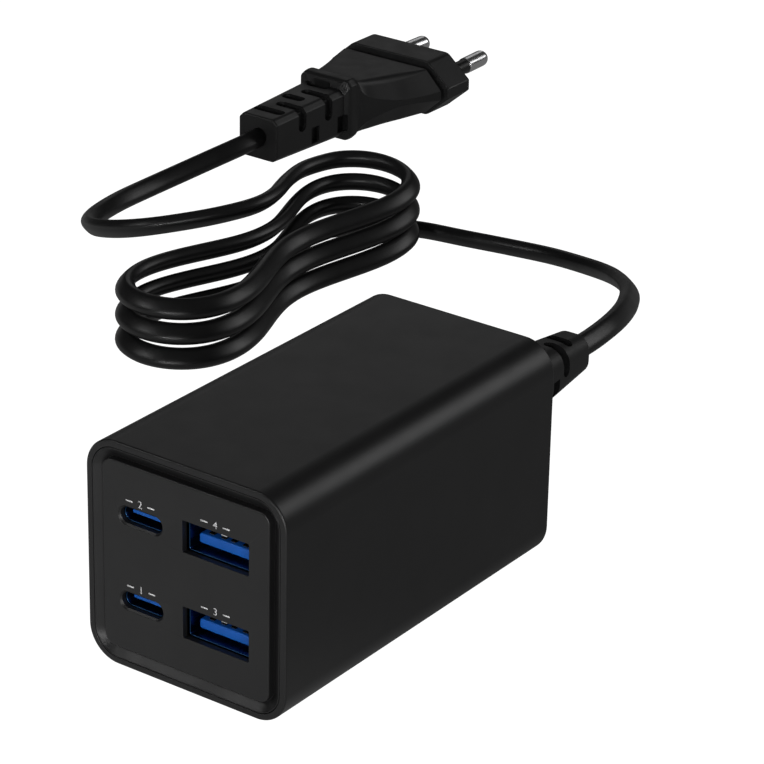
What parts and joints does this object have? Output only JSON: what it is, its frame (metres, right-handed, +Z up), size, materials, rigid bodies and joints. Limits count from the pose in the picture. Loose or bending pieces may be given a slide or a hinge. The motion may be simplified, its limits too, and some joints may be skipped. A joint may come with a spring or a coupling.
{
  "type": "usb wall charger",
  "caption": "Square black desktop USB charging brick with wide and small ports in two rows, and a captive flat lead ending in a flat two-pin mains plug.",
  "frame": {"origin": "middle of the brick's underside, on the surface it stands on", "axes": "+Y from the port face to the rear face, where the lead leaves; +X to the right facing the ports; +Z up"},
  "size_m": [0.1782, 0.2784, 0.042],
  "materials": {
    "housing_plastic": "fine satin black moulding",
    "cover_plastic": "satin black moulding",
    "port_blue": "gloss blue insulator",
    "shell_steel": "dark plated steel",
    "gold_contact": "gold plated",
    "board_green": "solder mask",
    "screw_steel": "zinc plated",
    "ic_black": "moulded package",
    "inductor_grey": "pressed powder body",
    "ferrite": "sintered ferrite",
    "bobbin_plastic": "phenolic moulding",
    "winding_tape": "yellow polyester tape over wire",
    "copper_wire": "enamelled copper wire",
    "choke_coating": "epoxy coated ring core",
    "capacitor_sleeve": "shrink sleeve",
    "capacitor_can": "bare can",
    "film_box": "moulded box",
    "ceramic_blue": "dipped epoxy",
    "opto_white": "moulded package",
    "thermal_gel": "soft gap pad",
    "copper_sheet": "bare copper sheet",
    "insulating_film": "thin polyester film",
    "wire_insulation": "coloured wire insulation",
    "boot_rubber": "matt black flexible moulding",
    "cord_sheath": "satin black flexible sheath",
    "plug_rubber": "matt black overmoulding",
    "plug_insert_plastic": "hard black moulding",
    "pin_nickel": "bright nickel plate",
    "pin_sleeve_plastic": "smooth black sleeve"
  },
  "bodies": {
    "root": {"housing_sleeve": "housing_plastic", "front_cover": "cover_plastic", "rear_cover": "cover_plastic", "usb_a_shell_upper": "shell_steel", "usb_a_shell_lower": "shell_steel", "usb_a_tongue_upper": "port_blue", "usb_a_tongue_lower": "port_blue", "usb_a_contacts_upper": "gold_contact", "usb_a_contacts_lower": "gold_contact", "usb_c_shell_upper": "shell_steel", "usb_c_shell_lower": "shell_steel", "usb_c_tongue_upper": "port_blue", "usb_c_tongue_lower": "port_blue", "usb_c_contacts_upper": "gold_contact", "usb_c_contacts_lower": "gold_contact", "port_board": "board_green", "board_screws": "screw_steel", "port_controllers": "ic_black", "buck_inductors": "inductor_grey", "power_board": "board_green", "board_header": "ic_black", "header_pins": "gold_contact", "transformer_core": "ferrite", "transformer_bobbin": "bobbin_plastic", "transformer_winding": "winding_tape", "choke_core": "choke_coating", "choke_windings": "copper_wire", "bulk_capacitors": "capacitor_sleeve", "output_capacitors": "capacitor_can", "x_capacitor": "film_box", "y_capacitor": "ceramic_blue", "fuse": "ic_black", "varistor": "ceramic_blue", "bridge_rectifier": "ic_black", "power_switch": "ic_black", "optocoupler": "opto_white", "thermal_pad": "thermal_gel", "heat_spreader": "copper_sheet", "insulating_sheet": "insulating_film", "mains_wires": "wire_insulation", "cable_boot": "boot_rubber", "lead_start": "cord_sheath", "lead_hank": "cord_sheath", "lead_tail": "cord_sheath", "plug_body": "plug_rubber", "plug_insert": "plug_insert_plastic", "plug_pins": "pin_nickel", "plug_pin_sleeves": "pin_sleeve_plastic"}
  },
  "joints": []
}
